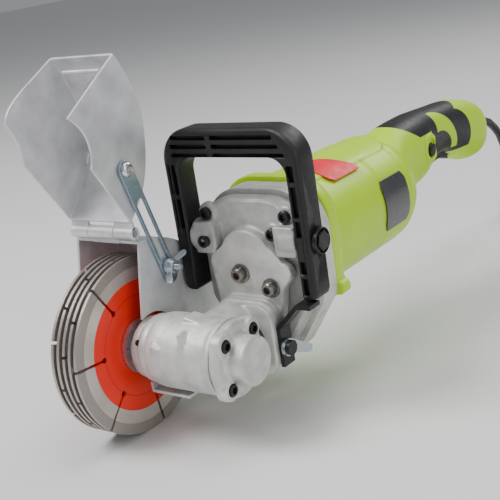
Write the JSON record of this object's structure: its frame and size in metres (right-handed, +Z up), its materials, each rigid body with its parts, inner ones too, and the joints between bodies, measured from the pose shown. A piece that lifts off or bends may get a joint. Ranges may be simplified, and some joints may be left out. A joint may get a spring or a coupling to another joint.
{
  "type": "wall chaser",
  "caption": "Hand-held electric wall chaser: a stack of slotted discs under a hinged dust guard, an angled gear case, a motor barrel, a front bow handle and a rear trigger grip with its lead.",
  "frame": {"origin": "middle of the underside of the box that the tool stands in, without its cord; the discs' lowest points touch Z 0", "axes": "+X along the disc axis from the discs to the spindle's end cap, +Y from the discs to the rear grip along the motor, +Z up"},
  "size_m": [0.23, 0.6875, 0.2773],
  "materials": {
    "green_plastic": "moulded, slightly glossy lime green",
    "black_plastic": "moulded, fine grain, charcoal black",
    "cast_aluminium": "die cast, fine sand-like grain, satin",
    "guard_steel": "silver grey lacquered sheet",
    "zinc_steel": "bright zinc plated",
    "dark_steel": "black oxide",
    "disc_steel": "bare steel body with sintered rim, red painted middle",
    "gear_steel": "ground and hardened",
    "copper": "varnished windings on laminations",
    "carbon": "pressed carbon",
    "red_panel": "plain red panel",
    "cord_rubber": "black rubber sheath"
  },
  "bodies": {
    "tool": {"motor_housing": "green_plastic", "label_panel": "black_plastic", "colour_panel": "red_panel", "front_handle": "black_plastic", "rear_handle_left": "black_plastic", "rear_handle_right": "black_plastic", "switch_body": "black_plastic", "spindle_housing": "cast_aluminium", "spindle_end_cap": "cast_aluminium", "gearcase_front": "cast_aluminium", "gearcase_rear": "cast_aluminium", "guard": "guard_steel", "flange_screw_1": "zinc_steel", "flange_screw_2": "zinc_steel", "guard_stud": "zinc_steel", "hinge_pin": "zinc_steel", "handle_bolt_left": "dark_steel", "handle_bolt_right": "dark_steel", "handle_brace": "dark_steel", "lever_bolt": "dark_steel", "spindle_bearing_front": "gear_steel", "spindle_bearing_rear": "gear_steel", "pinion_bearing": "gear_steel", "motor_bearing_front": "gear_steel", "motor_bearing_rear": "gear_steel", "stator": "gear_steel", "carbon_brush_left": "carbon", "carbon_brush_right": "carbon", "cord_gland": "cord_rubber", "cord": "cord_rubber", "cord_coil": "cord_rubber", "mains_plug": "black_plastic"},
    "spindle": {"spindle": "gear_steel", "inner_disc_flange": "zinc_steel", "outer_disc_flange": "zinc_steel", "spindle_nut": "zinc_steel", "crown_gear": "gear_steel", "disc_1": "disc_steel", "disc_2": "disc_steel", "disc_3": "disc_steel", "disc_4": "disc_steel", "disc_5": "disc_steel", "disc_spacer_1": "zinc_steel", "disc_spacer_2": "zinc_steel", "disc_spacer_3": "zinc_steel", "disc_spacer_4": "zinc_steel"},
    "pinion_shaft": {"pinion_shaft": "gear_steel", "driven_gear": "gear_steel"},
    "idler": {"idler_gear": "gear_steel"},
    "rotor": {"armature": "copper", "fan": "black_plastic"},
    "cover": {"flip_cover": "guard_steel", "arm_screw": "zinc_steel"},
    "arm": {"link_arm": "zinc_steel"},
    "wing_nut": {"wing_nut": "zinc_steel"},
    "trigger": {"trigger": "black_plastic"},
    "lock_button": {"lock_button": "black_plastic"},
    "lock_lever": {"lock_lever": "zinc_steel"}
  },
  "joints": [
    {"name": "spindle_spin", "type": "hinge", "parent": "tool", "child": "spindle", "pos_m": [-0.0449, -0.19625, 0.0665], "axis": [1, 0, 0], "continuous": true},
    {"name": "pinion_spin", "type": "hinge", "parent": "tool", "child": "pinion_shaft", "pos_m": [0.0291, -0.14625, 0.0665], "axis": [0, 1, 0], "continuous": true},
    {"name": "idler_spin", "type": "hinge", "parent": "tool", "child": "idler", "pos_m": [0.0291, -0.12625, 0.0985], "axis": [0, 1, 0], "continuous": true},
    {"name": "rotor_spin", "type": "hinge", "parent": "tool", "child": "rotor", "pos_m": [0.0291, -0.05625, 0.1215], "axis": [0, 1, 0], "continuous": true},
    {"name": "cover_hinge", "type": "hinge", "parent": "tool", "child": "cover", "pos_m": [-0.0609, -0.19625, 0.1525], "axis": [1, 0, 0], "range_deg": [0, 140]},
    {"name": "arm_pivot", "type": "hinge", "parent": "cover", "child": "arm", "pos_m": [-0.028, -0.19625, 0.199], "axis": [1, 0, 0], "range_deg": [-66, 1]},
    {"name": "wing_nut_turn", "type": "hinge", "parent": "tool", "child": "wing_nut", "pos_m": [-0.0229, -0.17175, 0.12], "axis": [1, 0, 0], "continuous": true},
    {"name": "trigger_squeeze", "type": "hinge", "parent": "tool", "child": "trigger", "pos_m": [0.0291, 0.12675, 0.1245], "axis": [1, 0, 0], "range_deg": [0, 7], "stiffness_Nm_per_rad": 1.2, "springref_deg": -2.86},
    {"name": "lock_button_press", "type": "slide", "parent": "tool", "child": "lock_button", "axis": [-1, 0, 0], "range_m": [0, 0.0025], "stiffness_N_per_m": 300},
    {"name": "lock_lever_turn", "type": "hinge", "parent": "tool", "child": "lock_lever", "pos_m": [0.0591, -0.15825, 0.0605], "axis": [1, 0, 0], "range_deg": [-15, 8]}
  ],
  "couplings": [
    {"joint": "pinion_spin", "follows": "spindle_spin", "ratio": 1.6667},
    {"joint": "idler_spin", "follows": "spindle_spin", "ratio": -3.3333},
    {"joint": "rotor_spin", "follows": "spindle_spin", "ratio": 7.4074},
    {"joint": "arm_pivot", "follows": "cover_hinge", "ratio": -0.462}
  ]
}
